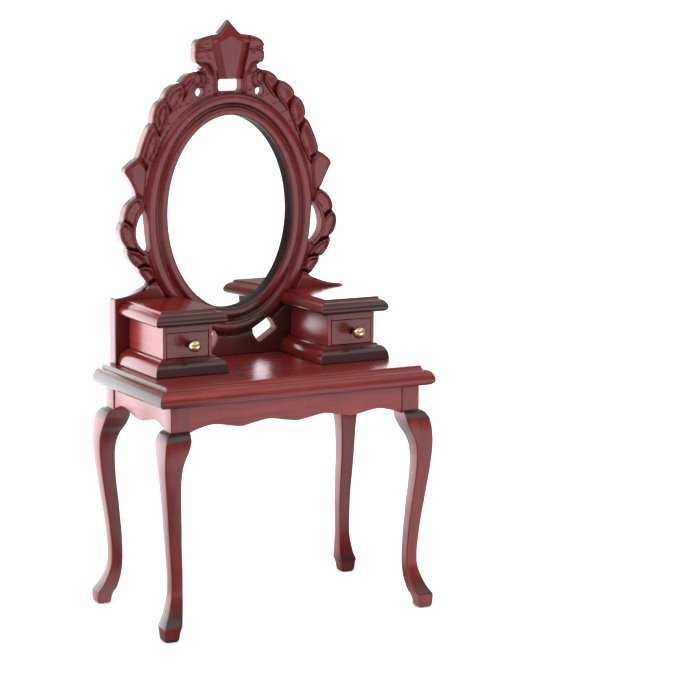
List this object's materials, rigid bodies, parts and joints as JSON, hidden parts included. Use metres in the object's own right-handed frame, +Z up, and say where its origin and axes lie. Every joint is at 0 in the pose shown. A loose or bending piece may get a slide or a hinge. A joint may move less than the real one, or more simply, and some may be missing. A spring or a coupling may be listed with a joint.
{
  "type": "miniature dressing table",
  "caption": "Dolls house dressing table with sawn cabriole legs, a moulded top, small drawer boxes and a carved board holding an oval looking glass.",
  "frame": {"origin": "on the floor, under the middle of the table's overall length and depth", "axes": "+Z up; -Y is the front, where the drawers open; +X to the right when seen from the front"},
  "size_m": [0.0782, 0.0464, 0.152],
  "materials": {
    "mahogany": "glossy red-brown lacquer over fine straight grain",
    "mahogany_box": "glossy dark red-brown lacquer",
    "brass": "polished",
    "mirror_silver": "silvered oval glass",
    "backing_card": "plain unpolished backing panel"
  },
  "bodies": {
    "carcase": {"table_top": "mahogany", "apron_front": "mahogany", "apron_back": "mahogany", "apron_left": "mahogany", "apron_right": "mahogany", "leg_front_left": "mahogany", "leg_front_right": "mahogany", "leg_back_left": "mahogany", "leg_back_right": "mahogany", "mirror_frame": "mahogany", "mirror_glass": "mirror_silver", "mirror_backing": "backing_card", "left_box_base": "mahogany_box", "left_box_lid": "mahogany_box", "left_box_side_outer": "mahogany_box", "left_box_side_inner": "mahogany_box", "left_box_top_rail": "mahogany_box", "right_box_base": "mahogany_box", "right_box_lid": "mahogany_box", "right_box_side_outer": "mahogany_box", "right_box_side_inner": "mahogany_box", "right_box_top_rail": "mahogany_box"},
    "drawer_left": {"left_drawer_front": "mahogany", "left_drawer_side_outer": "mahogany", "left_drawer_side_inner": "mahogany", "left_drawer_back": "mahogany", "left_drawer_bottom": "mahogany", "left_drawer_knob": "brass"},
    "drawer_right": {"right_drawer_front": "mahogany", "right_drawer_side_outer": "mahogany", "right_drawer_side_inner": "mahogany", "right_drawer_back": "mahogany", "right_drawer_bottom": "mahogany", "right_drawer_knob": "brass"}
  },
  "joints": [
    {"name": "left_drawer_slide", "type": "slide", "parent": "carcase", "child": "drawer_left", "axis": [0, -1, 0], "range_m": [0, 0.015]},
    {"name": "right_drawer_slide", "type": "slide", "parent": "carcase", "child": "drawer_right", "axis": [0, -1, 0], "range_m": [0, 0.015]}
  ]
}
